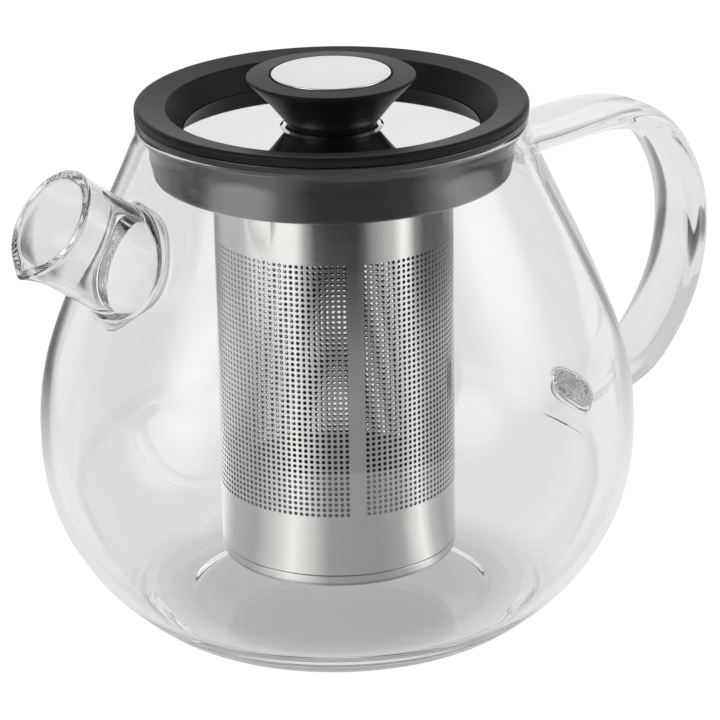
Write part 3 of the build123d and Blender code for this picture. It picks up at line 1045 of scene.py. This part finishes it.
turned("knob_plate", [
    (0.0, CAP_SEAT, 0.0),
    (CAP_R, CAP_SEAT, 0.1),
    (CAP_R, CAP_TOP, 0.3),
    (0.0, CAP_TOP, 0.0),
], polished, "lid", ["knob_cap"], closed=False)

for name, material in (("lid_seal", rubber), ("knob_washer", polished), ("knob_screw", polished)):
    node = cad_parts[name]
    node.data.materials.clear()
    node.data.materials.append(material)

# ---- floor, light and camera
VIEW_AZIMUTH = math.radians(-32.0)
VIEW_DOWN = math.radians(20.256)
VIEW_ROLL = math.radians(0.916)
CAMERA_AT = (-0.52239, -0.84763, 0.43421)
CAMERA_LENS = 205.3

scene = bpy.context.scene
scene.view_settings.view_transform = "Standard"
scene.view_settings.look = "None"
scene.cycles.max_bounces = 80
scene.cycles.transmission_bounces = 72
scene.cycles.glossy_bounces = 72
scene.cycles.diffuse_bounces = 4
scene.cycles.transparent_max_bounces = 24


def direction(azimuth, elevation):
    """A unit vector at an azimuth, in radians from the -Y side, and an elevation."""
    level = math.cos(elevation)
    return Vector((math.sin(azimuth) * level, -math.cos(azimuth) * level, math.sin(elevation)))


def turned_vector(tree, vector):
    """A vector as the camera's side sees it: sideways, ahead and up."""
    turned_way = tree.nodes.new("ShaderNodeVectorRotate")
    turned_way.rotation_type = "Z_AXIS"
    turned_way.inputs["Angle"].default_value = -VIEW_AZIMUTH
    tree.links.new(vector, turned_way.inputs["Vector"])
    return turned_way.outputs["Vector"]


def parts(tree, vector):
    """The three parts of a vector."""
    split = tree.nodes.new("ShaderNodeSeparateXYZ")
    tree.links.new(vector, split.inputs["Vector"])
    return split.outputs["X"], split.outputs["Y"], split.outputs["Z"]


def azimuth_of(tree, aside, ahead):
    """Degrees about the pot, 0 at the camera's side and 180 straight behind."""
    angle = number_math(tree, "ARCTAN2", aside, number_math(tree, "MULTIPLY", ahead, -1.0))
    return number_math(tree, "MULTIPLY", angle, 180 / math.pi)


# The floor is plain and white to the camera. Light that comes through the glass or off the object sees it
# lit as a studio sweep: a bright strip straight behind the pot between two dark flags, which draw the edges
# of the glass. The stops are (sideways place, level) across the strip, in metres at the pot.
SWEEP = 0.24
STRIP_STOPS = [(-SWEEP, 0.76), (0, 0.81), (SWEEP, 0.84)]
CLEAR_FLAGS = [
    (-SWEEP, 0.8), (-0.17, 0.42), (-0.118, 0.32), (-0.104, 1.0), (0.118, 1.0), (0.132, 0.22),
    (0.165, 0.26), (0.2, 0.45), (SWEEP, 0.7),
]
MIRROR_FLAGS = [
    (-SWEEP, 1.0), (-0.16, 0.24), (-0.1, 0.05), (-0.088, 1.0), (0.09, 1.0), (0.11, 0.7), (0.16, 0.7),
    (SWEEP, 1.0),
]
FLAGS_FROM, FLAGS_TO = 0.06, 0.22
STANDING_BACK = 1.02
NARROWEST = -0.7
# Levels of the floor in steel and plastic, by degrees about the pot, far from it and close to it.
FAR_STOPS = [
    (-180, 0.5), (-108, 0.35), (-93, 0.42), (-80, 0.95), (-50, 1.45), (-35, 1.45), (-27, 0.55), (-17, 0.03),
    (20, 0.0), (27, 0.08), (35, 0.38), (56, 0.85), (66, 1.6), (72, 1.3), (80, 0.35), (93, 0.02), (128, 0.0),
    (145, 0.2), (180, 0.5),
]
NEAR_STOPS = [
    (-180, 1.2), (-132, 1.15), (-106, 0.6), (-76, 0.5), (-54, 0.9), (-38, 1.35), (-26, 1.0), (-8, 0.42),
    (34, 0.36), (55, 0.5), (66, 1.0), (76, 1.35), (89, 0.7), (106, 0.5), (132, 0.65), (180, 1.2),
]
NEAR_FLOOR, FAR_FLOOR = 0.25, 0.31
SHADE_UNDER = 0.46
SHADE_FROM, SHADE_TO = 0.030, 0.066
FLOOR_SEEN = 1.08
FLOOR_SEEN_SHARE = 0.8
FLOOR_SELF_LIGHT = 0.5
STUDIO_R = 6.0
FLOOR_DROP = 0.0002

material, tree, shader = new_material("pale_floor")
set_inputs(shader, {
    "Base Color": (0.5, 0.5, 0.5, 1), "Roughness": 0.9, "Specular IOR Level": 0.0,
    "Emission Color": (1, 1, 1, 1), "Emission Strength": FLOOR_SELF_LIGHT,
})
place = coordinates(tree)
aside, ahead_of, _ = parts(tree, turned_vector(tree, place))
spread = number_math(tree, "DIVIDE", ahead_of, STANDING_BACK)
spread = number_math(tree, "MAXIMUM", spread, NARROWEST)
strip_aside = number_math(tree, "DIVIDE", aside, number_math(tree, "ADD", spread, 1.0))
strip, clear_flags, mirror_flags = (
    level_ramp(tree, strip_aside, stops, -SWEEP, SWEEP)
    for stops in (STRIP_STOPS, CLEAR_FLAGS, MIRROR_FLAGS)
)
behind = map_range(tree, ahead_of, FLAGS_FROM, FLAGS_TO)
clear_view = dimmed(tree, behind, strip, clear_flags)
glass_mirror = dimmed(tree, behind, strip, mirror_flags)
azimuth = azimuth_of(tree, aside, ahead_of)
far_level = level_ramp(tree, azimuth, FAR_STOPS, -180, 180)
near_level = level_ramp(tree, azimuth, NEAR_STOPS, -180, 180)
distance = vector_math(tree, "LENGTH", place)
farness = map_range(tree, distance, NEAR_FLOOR, FAR_FLOOR)
pattern = mixed(tree, farness, near_level, far_level)
metal_mirror = dimmed(tree, behind, pattern, mirror_flags)
path = tree.nodes.new("ShaderNodeLightPath").outputs
was_reflected = number_math(tree, "GREATER_THAN", path["Glossy Depth"], 0.5)
# the basket and the skirt are only seen through both faces of the pot's wall, there and back
through_pot = number_math(tree, "GREATER_THAN", path["Transmission Depth"], 3.5)
mirrored = mixed(tree, through_pot, glass_mirror, metal_mirror)
shown = mixed(tree, was_reflected, clear_view, mirrored)
shade = map_range(tree, distance, SHADE_FROM, SHADE_TO, SHADE_UNDER, 1.0, smooth=True)
shown_light = emission(tree, shown, shade)
white_light = emission(tree, (1, 1, 1, 1), FLOOR_SEEN)
plain = shader.outputs["BSDF"]
seen = mixed_shader(tree, FLOOR_SEEN_SHARE, plain, white_light)
direct = mixed_shader(tree, path["Is Camera Ray"], plain, seen)
# a path that has met no matt surface and is not the camera's own sees the floor through glass or mirrored
clean_path = number_math(tree, "LESS_THAN", path["Diffuse Depth"], 0.5)
not_direct = number_math(tree, "SUBTRACT", 1.0, path["Is Camera Ray"])
indirect = number_math(tree, "MULTIPLY", clean_path, not_direct)
surface = mixed_shader(tree, indirect, direct, shown_light)
tree.links.new(surface, tree.nodes["Material Output"].inputs["Surface"])
bm = bmesh.new()
bmesh.ops.create_circle(bm, cap_ends=True, segments=128, radius=STUDIO_R)
floor_mesh = bpy.data.meshes.new("floor")
bm.to_mesh(floor_mesh)
bm.free()
floor = bpy.data.objects.new("floor", floor_mesh)
floor.location.z = -FLOOR_DROP
floor_mesh.materials.append(material)
scene.collection.objects.link(floor)

# The studio round the pot: brightness by degrees round the horizon, which fades into the roof's level.
ROUND_STOPS = [
    (-180, 0.95), (-166, 0.9), (-150, 0.66), (-120, 0.6), (-85, 0.42), (-72, 0.95), (-38, 0.95), (-14, 0.15),
    (46, 0.15), (62, 0.9), (78, 0.95), (92, 0.42), (120, 0.4), (150, 0.45), (166, 0.9), (180, 0.95),
]
ROOF_LEVEL = 0.26
ROOF_FROM, ROOF_TO = 0.5, 0.9
# soft lamps on the studio wall: degrees about the pot, degrees up, level
GLOWS = [(-56, 24, 1.7), (88, 24, 1.8)]
GLOW_CORE, GLOW_EDGE = math.radians(2), math.radians(24)
LAMPS_AIM_Z = 0.08
world = bpy.data.worlds.new("studio")
scene.world = world
world.use_nodes = True
sky_tree = world.node_tree
sky_way = turned_vector(sky_tree, sky_tree.nodes.new("ShaderNodeTexCoord").outputs["Generated"])
sky_aside, sky_ahead, sky_up = parts(sky_tree, sky_way)
round_level = level_ramp(sky_tree, azimuth_of(sky_tree, sky_aside, sky_ahead), ROUND_STOPS, -180, 180)
height = map_range(sky_tree, sky_up, ROOF_FROM, ROOF_TO)
lit_sky = mixed(sky_tree, height, round_level, (ROOF_LEVEL, ROOF_LEVEL, ROOF_LEVEL, 1))
for glow_azimuth, glow_up, glow_level in GLOWS:
    lamp_way = direction(math.radians(glow_azimuth), math.radians(glow_up))
    near_lamp = vector_math(sky_tree, "DOT_PRODUCT", sky_way, lamp_way)
    edge, core = math.cos(GLOW_EDGE), math.cos(GLOW_CORE)
    glow = map_range(sky_tree, near_lamp, edge, core, 0.0, glow_level, smooth=True)
    lit_sky = vector_math(sky_tree, "ADD", lit_sky, glow)
sky_tree.links.new(lit_sky, sky_tree.nodes["Background"].inputs["Color"])


def soft_box(name, azimuth, elevation, distance, size, power):
    """A rectangular soft light that looks at the pot from an azimuth about it, 0 at the camera's side."""
    light = bpy.data.lights.new(name, "AREA")
    light.shape = "RECTANGLE"
    light.size, light.size_y = size
    light.energy = power
    lamp = bpy.data.objects.new(name, light)
    towards = direction(VIEW_AZIMUTH + math.radians(azimuth), math.radians(elevation))
    lamp.location = Vector((0, 0, LAMPS_AIM_Z)) + towards * distance
    lamp.rotation_mode = "QUATERNION"
    lamp.rotation_quaternion = towards.to_track_quat("Z", "Y")
    scene.collection.objects.link(lamp)
    lamp.visible_camera = False
    lamp.visible_glossy = False
    lamp.visible_transmission = False


soft_box("left_box", -55, 35, 1.1, (0.5, 0.9), 1.5)
soft_box("right_box", 62, 30, 1.1, (0.4, 0.9), 1.0)
soft_box("top_box", 180, 65, 1.2, (1.0, 0.8), 1.0)

camera_data = bpy.data.cameras.new("camera")
camera_data.sensor_width = 36.0
camera_data.lens = CAMERA_LENS
camera_data.clip_start, camera_data.clip_end = 0.05, 50
camera = bpy.data.objects.new("camera", camera_data)
ahead = -direction(VIEW_AZIMUTH, VIEW_DOWN)
turn = ahead.to_track_quat("-Z", "Y").to_matrix().to_4x4() @ Matrix.Rotation(-VIEW_ROLL, 4, "Z")
camera.matrix_world = Matrix.Translation(CAMERA_AT) @ turn
scene.collection.objects.link(camera)
scene.camera = camera
